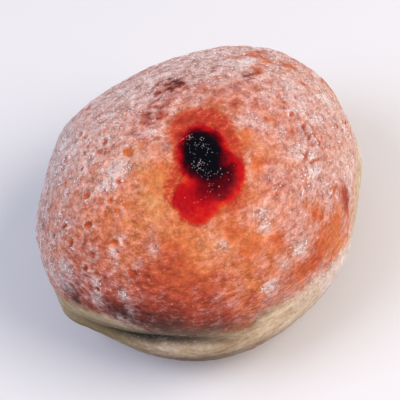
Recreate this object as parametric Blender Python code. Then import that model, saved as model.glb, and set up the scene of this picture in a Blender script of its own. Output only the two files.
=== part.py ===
"""Jam doughnut: a fried round of yeast dough, creased round its waist, with jam in a hole near its top.

Metres, +Z up. The doughnut rests on its flat underside at z = 0, over the origin. Its jam faces -Y and up.
The crust is given by its distance from the middle of the waist, in each direction from there. An azimuth
is turned from +X towards +Y, and an elevation is above the waist. Both are in degrees.
"""

import math

import bmesh
import bpy
from mathutils import Vector

# Size of the whole doughnut
MEAN_WIDTH = 0.088
HEIGHT = 0.053
WAIST_HEIGHT = 0.024
FLAT_SPOT_DROP = 0.003  # how far the round underside would reach below the table if it weren't flat

# Roundness of the two halves, as exponents of a superellipse: 2 is an ellipse, and more is squarer
DOME_SQUARENESS = 2.25
UNDERSIDE_SQUARENESS = 2.3
UNDERSIDE_OVERHANG = 0.0006  # the lower half is this much wider than the dome

# The outline seen from above: how many lobes go round it, their height, and the azimuth of one crest
OUTLINE_WAVES = (
    (2, 0.0023, 40),
    (3, 0.0012, 36),
    (4, 0.0005, 33),
    (5, 0.0003, -21),
    (6, 0.0005, 15),
)

# The crease where the dome folds over the pale waist: deepest at the front, and dipping at the left
CREASE_ELEVATION = 2.5
CREASE_DIP = 9
CREASE_DIP_AZIMUTH = 207
CREASE_DIP_SPREAD = 32
CREASE_HALF_WIDTH = 5
CREASE_DEPTH_ALL_ROUND = 0.0007
CREASE_EXTRA_DEPTH = 0.0017
CREASE_DEEPEST_AZIMUTH = 243
CREASE_DEEP_SPREAD = 38

# Lumps and hollows that frying left: azimuth, elevation, spread and height
LUMPS = (
    (46, 16, 7, 0.0013),
    (62, 24, 7, 0.0006),
    (62, 42, 8, -0.0006),
    (98, 24, 13, 0.0007),
    (118, 42, 9, -0.0005),
    (140, 24, 9, 0.0007),
    (176, 12, 9, 0.0006),
    (202, -10, 7, 0.0023),
    (222, -15, 8, -0.0004),
    (290, 25, 15, 0.0005),
    (325, 20, 12, -0.0004),
    (0, -4, 8, 0.0009),
    (13, 12, 8, -0.0006),
    (20, -16, 12, 0.0004),
    (75, -20, 16, 0.0006),
    (150, -14, 14, -0.0006),
)

# The jam hole. In its own frame, right is along the crust and level, and 90 degrees on is uphill
HOLE_AZIMUTH = 297
HOLE_ELEVATION = 73
HOLE_HALF_WIDTH = 0.0049
HOLE_HALF_LENGTH = 0.0071
HOLE_LEAN = 65  # direction of the hole's long axis, turned from its right
HOLE_DEPTH = 0.008
DIMPLE_DEPTH = 0.0012
DIMPLE_SPREAD = 15

# The puddle that welled out of the hole. Of each tongue: direction, reach past the hole, spread and depth
PUDDLE_MARGIN = 0.0004
PUDDLE_CROWN = 0.0011
TUCK_ELEVATION = -20  # the part of the jam's ball above this one is the puddle, and the rest is the plug
TONGUES = (
    (-93, 0.0060, 33, 0.0011),
    (-145, 0.0124, 23, 0.0006),
)

GAP = 0.0003  # kept between the jam and the dough

# Mesh fineness
DOUGH_SEGMENTS = 84
DOUGH_RINGS = 48
WAIST_FINENESS = 0.2  # crowds the rings towards the waist: 0 spaces them evenly
JAM_SEGMENTS = 40
JAM_RINGS = 26

CENTRE = Vector((0, 0, WAIST_HEIGHT))


def towards(azimuth, elevation):
    """Unit vector that points that way."""
    a, e = math.radians(azimuth), math.radians(elevation)
    return Vector((math.cos(e) * math.cos(a), math.cos(e) * math.sin(a), math.sin(e)))


def bell(distance, spread):
    """Smooth hump: 1 at no distance, about a third at one spread."""
    return math.exp(-((distance / spread) ** 2))


def turn_between(a, b):
    """Smallest turn from one azimuth to another, in degrees."""
    return (a - b + 180) % 360 - 180


def outline_radius(azimuth):
    """Radius of the uneven outline seen from above."""
    return MEAN_WIDTH / 2 + sum(
        height * math.cos(math.radians(lobes * (azimuth - crest)))
        for lobes, height, crest in OUTLINE_WAVES
    )


def crease_elevation(azimuth):
    """Elevation of the bottom of the crease."""
    turn = turn_between(azimuth, CREASE_DIP_AZIMUTH)
    return CREASE_ELEVATION - CREASE_DIP * bell(turn, CREASE_DIP_SPREAD)


def superellipse(half_width, half_height, squareness, elevation):
    """Distance from the centre of a superellipse to its edge at an elevation."""
    e = math.radians(elevation)
    across = (abs(math.cos(e)) / half_width) ** squareness
    upwards = (abs(math.sin(e)) / half_height) ** squareness
    return (across + upwards) ** (-1 / squareness)


def crease_depth(azimuth):
    """Depth of the crease round the waist."""
    turn = turn_between(azimuth, CREASE_DEEPEST_AZIMUTH)
    return CREASE_DEPTH_ALL_ROUND + CREASE_EXTRA_DEPTH * bell(turn, CREASE_DEEP_SPREAD)


def crust_distance(direction):
    """Distance from the middle of the waist to the crust, in a direction."""
    azimuth = math.degrees(math.atan2(direction.y, direction.x))
    elevation = math.degrees(math.asin(max(-1, min(1, direction.z))))
    radius = outline_radius(azimuth)
    if elevation >= 0:
        distance = superellipse(radius, HEIGHT - WAIST_HEIGHT, DOME_SQUARENESS, elevation)
    else:
        radius += UNDERSIDE_OVERHANG * min(1, -elevation / CREASE_HALF_WIDTH)
        drop = WAIST_HEIGHT + FLAT_SPOT_DROP
        distance = superellipse(radius, drop, UNDERSIDE_SQUARENESS, elevation)
    distance -= crease_depth(azimuth) * bell(elevation - crease_elevation(azimuth), CREASE_HALF_WIDTH)
    for lump_azimuth, lump_elevation, spread, height in LUMPS:
        apart = math.degrees(direction.angle(towards(lump_azimuth, lump_elevation)))
        distance += height * bell(apart, spread)
    from_hole = math.degrees(direction.angle(towards(HOLE_AZIMUTH, HOLE_ELEVATION)))
    return distance - DIMPLE_DEPTH * bell(from_hole, DIMPLE_SPREAD)


def crust_point(direction, height=0):
    """Point on the crust in a direction from the middle of the waist, or at a height over it."""
    return CENTRE + direction * (crust_distance(direction) + height)


def point_by_hole(across, turn, height):
    """Point at a distance across the crust from the hole's middle, in a direction of the hole's frame."""
    middle = towards(HOLE_AZIMUTH, HOLE_ELEVATION)
    right = Vector((0, 0, 1)).cross(middle).normalized()
    uphill = middle.cross(right)
    aside = right * math.cos(turn) + uphill * math.sin(turn)
    direction = (middle * crust_distance(middle) + aside * across).normalized()
    return crust_point(direction, height)


def hole_radius(turn):
    """Radius of the hole's oval mouth, in a direction of its frame."""
    lean = turn - math.radians(HOLE_LEAN)
    return HOLE_HALF_WIDTH * HOLE_HALF_LENGTH / math.hypot(
        HOLE_HALF_WIDTH * math.cos(lean), HOLE_HALF_LENGTH * math.sin(lean)
    )


def tongue_share(turn, direction, spread):
    """How much a tongue of the puddle counts in a direction, from 0 to 1."""
    return math.exp(-abs(turn_between(math.degrees(turn), direction) / spread) ** 3)


def puddle_radius(turn):
    """Radius of the puddle's edge, in a direction of the hole's frame."""
    reach = sum(reach * tongue_share(turn, at, spread) for at, reach, spread, _ in TONGUES)
    return hole_radius(turn) + PUDDLE_MARGIN + reach


def puddle_depth(across, turn):
    """Depth of the puddle over the crust, from its crown over the hole out to its tongues."""
    share = bell(across, hole_radius(turn))
    out_there = max(depth * tongue_share(turn, at, spread) for at, _, spread, depth in TONGUES)
    return share * PUDDLE_CROWN + (1 - share) * max(out_there, PUDDLE_MARGIN)


def ball(name, segments, rings):
    """Mesh of a unit ball, for a piece to be shaped from."""
    mesh = bpy.data.meshes.new(name)
    bm = bmesh.new()
    bmesh.ops.create_uvsphere(bm, u_segments=segments, v_segments=rings, radius=1)
    bm.to_mesh(mesh)
    bm.free()
    return mesh


def reshape(mesh, shape):
    """Moves each point of a unit ball to where shape puts its azimuth and elevation, in radians."""
    for vertex in mesh.vertices:
        azimuth = math.atan2(vertex.co.y, vertex.co.x)
        elevation = math.asin(max(-1, min(1, vertex.co.z)))
        vertex.co = shape(azimuth, elevation)


def rest_flat(mesh):
    """Cuts the mesh off at the table and closes it with one flat face inside a sharp rim."""
    bm = bmesh.new()
    bm.from_mesh(mesh)
    whole = bm.verts[:] + bm.edges[:] + bm.faces[:]
    cut = bmesh.ops.bisect_plane(
        bm, geom=whole, plane_co=(0, 0, 0), plane_no=(0, 0, 1), clear_inner=True
    )
    rim = [piece for piece in cut["geom_cut"] if isinstance(piece, bmesh.types.BMEdge)]
    bmesh.ops.contextual_create(bm, geom=rim)
    for edge in rim:
        edge.smooth = False
    bmesh.ops.recalc_face_normals(bm, faces=bm.faces[:])
    bm.to_mesh(mesh)
    bm.free()


def dough_shape(azimuth, elevation):
    """Where a point of the unit ball goes on the crust. The rings crowd towards the waist."""
    elevation -= WAIST_FINENESS * math.sin(2 * elevation)
    return crust_point(towards(math.degrees(azimuth), math.degrees(elevation)))


def hole_shape(turn, elevation):
    """The cutter for the hole: an egg whose widest ring is at the crust."""
    across = (hole_radius(turn) + GAP) * math.cos(elevation)
    depth = HOLE_DEPTH + GAP
    return point_by_hole(across, turn, depth * math.sin(elevation))


def jam_shape(turn, elevation):
    """The jam: a ball whose upper half is the puddle's top, and whose lower half runs back in and down."""
    edge, mouth = puddle_radius(turn), hole_radius(turn)
    tuck, straight_down = math.radians(TUCK_ELEVATION), math.radians(-90)
    if elevation >= 0:
        across = edge * math.cos(elevation)
        return point_by_hole(across, turn, GAP + puddle_depth(across, turn) * math.sin(elevation))
    if elevation >= tuck:
        return point_by_hole(edge + (mouth - edge) * elevation / tuck, turn, GAP)
    sunk = (elevation - tuck) / (straight_down - tuck) * straight_down
    return point_by_hole(mouth * math.cos(sunk), turn, GAP + (HOLE_DEPTH + GAP) * math.sin(sunk))


def add_object(name, mesh, collection):
    """Links a mesh to the scene as an object."""
    made = bpy.data.objects.new(name, mesh)
    collection.objects.link(made)
    return made


def add_material(mesh, name, colour, roughness):
    """Gives a mesh one Principled material."""
    material = bpy.data.materials.new(name)
    material.use_nodes = True
    shader = material.node_tree.nodes["Principled BSDF"]
    shader.inputs["Base Color"].default_value = (*colour, 1)
    shader.inputs["Roughness"].default_value = roughness
    mesh.materials.append(material)


def make_dough(parts, cutters):
    """The fried dough: dome, crease, underside and flat spot, with the jam hole cut into it."""
    mesh = ball("dough", DOUGH_SEGMENTS, DOUGH_RINGS)
    reshape(mesh, dough_shape)
    mesh.shade_smooth()
    rest_flat(mesh)
    add_material(mesh, "fried_dough", (0.62, 0.27, 0.12), 0.75)
    dough = add_object("dough", mesh, parts)

    cutter_mesh = ball("jam_hole_cutter", JAM_SEGMENTS, JAM_RINGS)
    reshape(cutter_mesh, hole_shape)
    cutter_mesh.shade_smooth()
    cutter = add_object("jam_hole_cutter", cutter_mesh, cutters)
    cutter.hide_render = True
    cutter.display_type = "WIRE"

    hole = dough.modifiers.new("jam hole", "BOOLEAN")
    hole.operation = "DIFFERENCE"
    hole.solver = "EXACT"
    hole.object = cutter


def make_jam(parts):
    """The jam: a plug that fills the hole, and the puddle that welled out of it over the crust."""
    mesh = ball("jam", JAM_SEGMENTS, JAM_RINGS)
    reshape(mesh, jam_shape)
    mesh.shade_smooth()
    add_material(mesh, "jam", (0.18, 0.004, 0.008), 0.15)
    add_object("jam", mesh, parts)


def main():
    """Builds the doughnut in an empty scene."""
    for old in list(bpy.data.objects):
        bpy.data.objects.remove(old)
    parts = bpy.data.collections.new("jam_doughnut")
    cutters = bpy.data.collections.new("cutters")
    bpy.context.scene.collection.children.link(parts)
    bpy.context.scene.collection.children.link(cutters)
    make_dough(parts, cutters)
    make_jam(parts)


main()
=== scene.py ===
"""Sugared jam doughnut, dressed over its CAD frame.

Metres, +Z up. The doughnut lies on the floor at z = 0, and its jam faces -Y and up. A direction on the
crust is an azimuth, turned from +X towards +Y, and an elevation above the waist. Both are in degrees and
seen from the waist's middle.
"""

import math

import bmesh
import bpy
import numpy as np
from mathutils import Matrix, Vector, noise
from mathutils.bvhtree import BVHTree


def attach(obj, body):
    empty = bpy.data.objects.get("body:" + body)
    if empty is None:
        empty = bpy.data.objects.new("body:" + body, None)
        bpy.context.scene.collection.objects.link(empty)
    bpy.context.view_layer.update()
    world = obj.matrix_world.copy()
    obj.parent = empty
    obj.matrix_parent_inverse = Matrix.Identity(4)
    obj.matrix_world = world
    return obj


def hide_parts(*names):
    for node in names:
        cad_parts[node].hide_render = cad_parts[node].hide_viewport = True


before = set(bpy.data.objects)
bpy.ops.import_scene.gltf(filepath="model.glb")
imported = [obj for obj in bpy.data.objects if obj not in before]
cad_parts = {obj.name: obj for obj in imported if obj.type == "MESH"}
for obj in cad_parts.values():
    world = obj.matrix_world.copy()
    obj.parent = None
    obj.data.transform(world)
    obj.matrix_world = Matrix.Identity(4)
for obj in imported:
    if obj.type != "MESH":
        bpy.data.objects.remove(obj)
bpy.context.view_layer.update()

# The dough
# A ball of yeast dough that swelled in hot oil and was turned over once, so that both sides browned and
# a pale ring stayed between them. Its crust is thin, soft and blistered, and takes its form from the CAD.

WAIST_MIDDLE = np.array((0, 0, 0.024))
CRUST_SQUARE = 0.00055  # edge of the squares that the crust's mesh is made of
FACET_SMOOTHING = 24  # rounds of smoothing, which take away the CAD's facets


def copy_of_node(node, name):
    """Copy of a CAD node with its loose triangles joined, as an object of its own."""
    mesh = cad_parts[node].data.copy()
    mesh.name = name
    mesh.materials.clear()
    shell = bmesh.new()
    shell.from_mesh(mesh)
    bmesh.ops.remove_doubles(shell, verts=shell.verts, dist=1e-6)
    shell.to_mesh(mesh)
    shell.free()
    piece = bpy.data.objects.new(name, mesh)
    bpy.context.scene.collection.objects.link(piece)
    return piece


def settle(piece):
    """Makes what the modifiers show into the piece's own mesh, and removes them."""
    graph = bpy.context.evaluated_depsgraph_get()
    made = bpy.data.meshes.new_from_object(
        piece.evaluated_get(graph), preserve_all_data_layers=True, depsgraph=graph
    )
    made.name = piece.name
    piece.modifiers.clear()
    piece.data = made


dough = copy_of_node("dough", "dough_crust")
even = dough.modifiers.new("even squares", "REMESH")
even.mode = "VOXEL"
even.voxel_size = CRUST_SQUARE
soften = dough.modifiers.new("no facets", "SMOOTH")
soften.factor = 0.5
soften.iterations = FACET_SMOOTHING
settle(dough)


def rise(values, low, high):
    """Smooth step from 0 at low to 1 at high. With low above high it falls instead."""
    share = np.clip((values - low) / (high - low), 0, 1)
    return share * share * (3 - 2 * share)


def mottle(points, size, seed):
    """Noise from about -1 to 1 whose patches are of that size. Each seed gives another part of it."""
    shift = Vector((seed * 7.3, seed * 3.1, seed * 5.7))
    return np.array([noise.noise(Vector(p) / size + shift) for p in points])


def store(mesh, name, values):
    """Keeps one number for each point of the mesh, for the nodes to read."""
    layer = mesh.attributes.new(name, "FLOAT", "POINT")
    layer.data.foreach_set("value", np.asarray(values, dtype=np.float32))


points = np.empty(len(dough.data.vertices) * 3)
dough.data.vertices.foreach_get("co", points)
points = points.reshape(-1, 3)
rays = points - WAIST_MIDDLE
rays /= np.linalg.norm(rays, axis=1)[:, None]
azimuth = np.degrees(np.arctan2(rays[:, 1], rays[:, 0])) % 360
elevation = np.degrees(np.arcsin(rays[:, 2]))

# Three noises make everything on the crust uneven. They are named by how coarse they are
PATCH_SIZE = 0.009
FLECK_SIZE = 0.003
SHRED_SIZE = 0.0012
patches = mottle(points, PATCH_SIZE, 1)
flecks = mottle(points, FLECK_SIZE, 2)
shreds = mottle(points, SHRED_SIZE, 3)


def uneven(level, weights):
    """A level with the patches, the flecks and the shreds added to it, each by its weight."""
    for unevenness, weight in zip((patches, flecks, shreds), weights):
        level = level + weight * unevenness
    return level


def aim(direction):
    """Unit vector along a direction."""
    turn, tilt = (math.radians(angle) for angle in direction)
    return math.cos(tilt) * math.cos(turn), math.cos(tilt) * math.sin(turn), math.sin(tilt)


def away_from(direction):
    """Distance in millimetres of every point of the crust from the point that lies in a direction."""
    middle = points[np.argmax(rays @ aim(direction))]
    return np.linalg.norm(points - middle, axis=1) * 1000


def near_place(direction, spread, weights=(0, 0, 0)):
    """1 in a direction, and about a third at the spread in millimetres from it."""
    return np.exp(-((uneven(away_from(direction), weights) / spread) ** 2))


def near_azimuth(angle, spread):
    """1 at an azimuth, and about a third at the spread in degrees from it."""
    return np.exp(-((((azimuth - angle + 180) % 360 - 180) / spread) ** 2))


def with_places(level, places):
    """A level with what each place adds, from its direction, its spread and its strength."""
    for direction, spread, strength in places:
        level = level + strength * near_place(direction, spread)
    return level


def with_swings(level, swings):
    """A level with what each swing adds, from its azimuth, its spread and its height in degrees."""
    for angle, spread, height in swings:
        level = level + height * near_azimuth(angle, spread)
    return level


# The crease under the dome. At the front its bottom is a narrow pinch, dented in and painted dark for its
# shade and the oil in it, and shade is painted on the dome's lip over it and on the ring's front. A run is
# an azimuth and its spread, and a fade goes from none to full between two elevations, all in degrees
CREASE_ELEVATION = 2.5
CREASE_SWINGS = ((207, 37, -9), (268, 13, -3.5))  # azimuth, spread and height of each
PINCH_RUN = (237, 25)
PINCH_HALF_WIDTH = 1.5
LIP_RUN = (243, 27)
LIP_BOTTOM_FADE = (-4.5, 0.5)  # from the crease
LIP_TOP_FADE = (13, 4)  # from the crease
# Shade is painted on the ring under its bulge and beside the pinch, where these runs and fades say
ROLL_RUN = (252, 24)  # where the ring is dusky under its bulge
ROLL_FADE = (-4, -9)
BESIDE_RUN = (262, 12)  # where the ring is dusky beside the pinch
BESIDE_FADE = (3, -3)
BESIDE_STRENGTH = 0.45
SIDE_FADE = (-40, -20)  # keeps the underside clear of it
# Over the crease the dome is browned deeply, and painted darker there as shade
DEEP_RUN = (230, 36)  # where the dome is browned deeply over the crease
DEEP_BOTTOM_FADE = (-24, -10)
DEEP_TOP_FADE = (16, 5)  # from the crease
above_crease = elevation - with_swings(uneven(CREASE_ELEVATION, (0.5, 0, 0)), CREASE_SWINGS)
pinch = np.exp(-((above_crease / PINCH_HALF_WIDTH) ** 2)) * near_azimuth(*PINCH_RUN)
lip_shade = rise(above_crease, *LIP_BOTTOM_FADE) * rise(uneven(above_crease, (0, 1.5, 0)), *LIP_TOP_FADE)
lip_shade *= near_azimuth(*LIP_RUN)
side = rise(elevation, *SIDE_FADE)
roll = rise(uneven(elevation, (0, 1, 0)), *ROLL_FADE) * near_azimuth(*ROLL_RUN)
beside = BESIDE_STRENGTH * rise(uneven(elevation, (0, 2, 0)), *BESIDE_FADE) * near_azimuth(*BESIDE_RUN)
lip_shade = np.maximum(lip_shade, np.maximum(roll, beside) * side)
browned_and_shaded_dome = rise(uneven(above_crease, (1.5, 0, 0)), *DEEP_TOP_FADE) * rise(elevation, *DEEP_BOTTOM_FADE)
browned_and_shaded_dome *= near_azimuth(*DEEP_RUN)

# The pale ring, from the edge of the browned top down to the edge of the browned underside. The edges
# wander: azimuth, spread and height of each swing, in degrees
RING_TOP = 1.5
RING_TOP_FADE = (3, -1.8)  # from the edge
RING_TOP_SWINGS = (
    (226, 17, 4.5),
    (325, 24, -5),
    (33, 11, 2),
    (62, 13, -3),
    (98, 12, 2.5),
    (130, 13, -3),
    (165, 10, 2),
)
EDGE_RUN = (273, 13)  # where a fine crease follows the ring's top edge
EDGE_HEIGHT = 0.5  # over the edge
EDGE_HALF_WIDTH = 0.8
EDGE_DEPTH = 0.4  # as a share of the pinch's depth
RING_BOTTOM = -16
RING_BOTTOM_FADE = (-2, 2.5)  # from the edge
RING_BOTTOM_SWINGS = (
    (272, 12, 3.5),
    (336, 12, 2.5),
    (15, 11, 1.5),
    (45, 15, 5),
    (78, 12, 1),
    (110, 15, 5.5),
    (142, 12, 1.5),
    (175, 14, 4.5),
)
ring_top = with_swings(uneven(RING_TOP, (1.8, 1.4, 0.7)), RING_TOP_SWINGS)
# A fine crease along the ring's top edge, dented in and painted dark as shade, like the pinch
edge = np.exp(-(((elevation - ring_top - EDGE_HEIGHT) / EDGE_HALF_WIDTH) ** 2))
pinch = np.maximum(pinch, EDGE_DEPTH * edge * near_azimuth(*EDGE_RUN))
ring_bottom = with_swings(uneven(RING_BOTTOM, (2.8, 1.4, 0.7)), RING_BOTTOM_SWINGS)
pale = rise(elevation, *(ring_top + past for past in RING_TOP_FADE))
pale *= rise(elevation, *(ring_bottom + past for past in RING_BOTTOM_FADE))

# How brown the crust is, from 0, pale gold, to 1, deep red-brown, together with shade painted low on the
# front, and how much sugar lies on it, from 0, bare, to 1, caked white. Each place has its direction, its
# spread in millimetres, and what it adds to both
BROWNING = 0.38
DEEP_BROWNING_AND_SHADE = 0.35  # over the crease
DEEP_SUGAR = -0.15
UNDER_BROWNING = 0.5  # on the underside
UNDER_BROWNING_FADE = (-10, -24)
UNDER_SUGAR = -0.3
UNDER_SUGAR_FADE = (-10, -40)
GOLDEN_RUN = (95, 60)  # where the crust passes through gold to the pale ring
GOLDEN_AWAY = 3  # degrees from the ring's edge to the middle of the golden band
GOLDEN_SPREAD = 4
GOLDEN_BROWNING = -0.3
SUGAR = 0.39
PLACES = (
    # Broad differences between the sides, and small ones in them
    ((170, 18), 21, 0.06, 0.22),
    ((152, 28), 13, 0, 0.2),
    ((12, 22), 12, -0.05, 0.16),
    ((120, 45), 15, 0.16, 0.24),
    ((60, 35), 18, 0.24, 0.26),
    ((80, 58), 7, 0.08, -0.02),
    ((140, 45), 9, 0, -0.08),
    ((350, 22), 18, 0.1, 0.16),
    ((255, 30), 17, 0, -0.2),
    ((222, 50), 10, -0.1, -0.2),
    ((214, 26), 13, 0.04, -0.1),
    ((238, 41), 6, -0.12, -0.02),
    ((268, 33), 5, -0.14, 0.08),
    ((258, 21), 4, -0.08, 0),
    ((281, 15), 4, -0.1, -0.12),
    ((317, 50), 3, -0.05, -0.2),
    ((345, 12), 6, -0.14, 0.12),
    ((182, 63), 3, -0.15, -0.2),
    ((206, 10), 4, 0.3, 0.1),
    ((215, 19), 10, 0.08, 0.01),
    ((201, 10), 5, 0, 0.25),
    ((211, 6), 3, 0.25, -0.3),
    ((245, 10), 2.5, 0.2, -0.2),
    # Smooth and bare beside the hole
    ((241, 58), 4.5, -0.12, -0.3),
    ((230, 64), 4, -0.04, -0.3),
    ((262, 40), 6, -0.05, -0.1),
    # Browned deeply at the front and darkest just over the crease, partly as painted shade, with a dab of
    # sugar
    ((252, 25), 8, 0.14, -0.22),
    ((238, 24), 5, 0.12, -0.1),
    ((262, 21), 5, 0.12, -0.14),
    ((250, 35), 2.6, 0.15, -0.2),
    ((276, 13), 1.7, 0.2, -0.2),
    ((213, 12), 4, 0.22, -0.05),
    ((242, 14), 2.5, 0.15, -0.15),
    ((225, 12), 4.5, 0.45, -0.2),
    ((212, 7), 2.2, 0.3, -0.35),
    ((219, 7), 2.6, 0.2, -0.3),
    ((230, 9), 1.6, 0, 0.5),
    ((231, 12), 2.5, 0.2, -0.2),
    ((236, 12), 5, 0.42, -0.2),
    ((250, 12), 5.5, 0.38, -0.2),
    ((264, 9), 5.5, 0.32, -0.16),
    # Bare patches along the ring at the right
    ((334, 11), 2.4, 0.25, -0.5),
    ((331, 6), 2.2, 0.25, -0.5),
    ((320, 10), 3, -0.08, -0.5),
    ((316, 4), 2.4, -0.08, -0.4),
    ((311, 12), 3, -0.05, -0.5),
    ((304, 10), 3, 0.14, -0.5),
    ((297, 10), 2.6, 0.15, -0.4),
    # Red patches at the back, where less sugar stuck
    ((85, 56), 3.5, 0.1, -0.1),
    ((118, 70), 3, 0.15, -0.1),
    ((33, 54), 1.5, 0.2, -0.2),
    ((20, 60), 1.8, 0.15, -0.2),
    ((11, 53), 1.8, 0.15, -0.2),
    # Tan patches on the hump at the back
    ((47, 31), 2, -0.2, -0.4),
    ((45, 26), 2, -0.1, -0.4),
    ((38, 32), 1.8, -0.2, -0.4),
    ((31, 27), 2.2, -0.1, -0.4),
    ((52, 36), 1.6, -0.1, -0.3),
    ((36, 38), 1.6, -0.15, -0.3),
    # Orange patches among the sugar
    ((279, 36), 2.4, 0.05, -0.4),
    ((287, 30), 1.6, 0.05, -0.35),
    ((294, 26), 2, 0.1, -0.3),
    ((281, 28), 2.2, 0.05, -0.3),
    ((283, 46), 2.4, 0.05, -0.4),
    ((317, 50), 2.2, 0.05, -0.4),
    ((357, 48), 1.8, -0.1, -0.3),
    ((340, 57), 2.4, -0.1, -0.35),
    ((327, 62), 3, -0.1, -0.25),
    ((315, 21), 1.8, 0.1, -0.25),
    ((18, 28), 1, 0.3, -0.3),
    # Caked sugar, and nearly bare places between
    ((192, 56), 3.4, 0, 0.5),
    ((201, 50), 2, 0, 0.3),
    ((228, 51), 3, -0.15, 0),
    ((195, 47), 2, 0, 0.35),
    ((221, 56), 1.8, 0, 0.25),
    ((225, 36), 1.7, 0, 0.4),
    ((224, 31), 1.6, 0, 0.4),
    ((243, 35), 2, 0, 0.4),
    ((227, 27), 1.6, 0, 0.3),
    ((222, 23), 2.4, 0.05, -0.2),
    ((235, 30), 1.6, 0, 0.35),
    ((220, 20), 2.2, 0, 0.4),
    ((221, 13), 2.4, 0, 0.5),
    ((232, 18), 2.2, 0, 0.45),
    ((206, 18), 2.2, 0, 0.35),
    ((234, 13), 1.6, 0, 0.35),
    ((150, 77), 2.6, 0, 0.2),
    ((30, 63), 4, 0.05, -0.12),
    ((201, 66), 3, -0.1, 0.15),
    ((18, 35), 2.6, 0, 0.2),
    ((5, 36), 2, 0, 0.2),
    ((349, 41), 3.5, 0, -0.12),
    ((357, 32), 6, 0.02, -0.14),
    ((298, 41), 3, 0, -0.15),
    ((285, 14), 7, 0.03, -0.1),
    ((358, 30), 1.8, 0, 0.3),
    ((336, 38), 1.8, 0, 0.3),
    ((331, 28), 2, 0, 0.3),
    ((315, 53), 1.5, 0, 0.3),
    ((296, 36), 2.8, 0, 0.4),
    ((293, 32), 1.6, 0, 0.35),
    ((273, 34), 1.6, 0, 0.45),
    ((283, 14), 2.2, 0, 0.5),
    ((300, 18), 2, 0, 0.35),
    ((292, 18), 1.8, 0, 0.3),
    ((44, 38), 2, 0, 0.3),
)
golden = np.exp(-(((elevation - ring_top - GOLDEN_AWAY) / GOLDEN_SPREAD) ** 2))
golden += np.exp(-(((elevation - ring_bottom + GOLDEN_AWAY) / GOLDEN_SPREAD) ** 2))
browning_and_shade = uneven(BROWNING, (0.1, 0.1, 0))
browning_and_shade += UNDER_BROWNING * rise(elevation, *UNDER_BROWNING_FADE)
browning_and_shade += DEEP_BROWNING_AND_SHADE * browned_and_shaded_dome
browning_and_shade += GOLDEN_BROWNING * golden * near_azimuth(*GOLDEN_RUN)
sugar = uneven(SUGAR, (0.12, 0.12, 0))
sugar += UNDER_SUGAR * rise(elevation, *UNDER_SUGAR_FADE)
sugar += DEEP_SUGAR * browned_and_shaded_dome
for direction, spread, browner, sweeter in PLACES:
    share = near_place(direction, spread, (0, 0.5, 0.6))
    browning_and_shade += browner * share
    sugar += sweeter * share

# Red-brown streaks at the back, where sugar didn't stick. They lie across the dome in places, each with
# its direction, its spread in millimetres and how strong they are
STREAKED = (
    ((81, 55), 3.4, 1),
    ((92, 54), 3, 1),
    ((97, 60), 3, 0.9),
    ((112, 66), 4, 0.6),
    ((132, 74), 4, 0.6),
    ((34, 44), 3.4, 0.9),
    ((60, 47), 4, 0.5),
)
STREAK_WIDTH = 0.0012
STREAK_STRETCH = (0.5, 1, 1)  # draws them out to twice their width along X
STREAK_BROWNING = 0.28
STREAK_SUGAR = -0.4
streaks = mottle(points * STREAK_STRETCH, STREAK_WIDTH, 6)
streaks = rise(uneven(streaks, (0, 0, 0.4)), -0.1, 0.3) * with_places(0, STREAKED)
browning_and_shade += STREAK_BROWNING * streaks
sugar += STREAK_SUGAR * streaks

# White bloom on the ring, where no shade is painted on it: direction, spread in millimetres and what it adds
BLOOM = (
    ((183, -5), 7, 0.5),
    ((165, -3), 9, 0.8),
    ((141, -8), 8, 0.5),
    ((118, -2), 9, 0.9),
    ((96, -8), 8, 0.5),
    ((73, -4), 9, 0.9),
    ((48, -7), 8, 0.5),
    ((26, -4), 9, 0.8),
    ((5, -8), 8, 0.5),
    ((320, -5), 8, 0.9),
    ((306, -5), 6, 0.8),
    ((293, -3), 4.5, 0.6),
    ((244, -6), 3, 0.4),
    ((238, -7), 2.5, 0.4),
    ((0, -3), 8, 0.3),
    ((262, -4), 6, -0.25),
    ((207, -8), 4, -0.4),
    ((209, 0), 7, -0.5),
    ((222, -7), 5, -0.3),
)
sugar += with_places(0, BLOOM) * pale

# Burst blisters, each a small dent with a raised rim: direction, then radius and depth in millimetres
PITS = (
    ((161, 52), 1.4, 0.4),
    ((169, 50), 1.1, 0.3),
    ((182, 63), 1.8, 0.5),
    ((180, 8), 1.4, 0.8),
    ((202, 54), 1.1, 0.3),
    ((199, 47), 0.9, 0.5),
    ((194, 41), 1.3, 0.6),
    ((184, 34), 1.1, 0.5),
    ((208, 46), 1.1, 0.6),
    ((216, 44), 1.2, 0.6),
    ((207, 34), 1.3, 0.6),
    ((196, 28), 0.9, 0.5),
    ((223, 34), 1.3, 0.6),
    ((204, 26), 1.2, 0.6),
    ((215, 27), 1.3, 0.5),
    ((214, 22), 1.1, 0.5),
    ((221, 17), 0.9, 0.6),
    ((234, 26), 1.4, 0.5),
    ((167, 32), 1.1, 0.4),
    ((176, 42), 0.9, 0.3),
    ((150, 38), 1.1, 0.5),
    ((130, 30), 1.2, 0.5),
    ((112, 22), 1.1, 0.5),
    ((75, 28), 1.1, 0.5),
    ((352, 35), 1.2, 0.5),
    ((0, 39), 1.1, 0.3),
)
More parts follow.
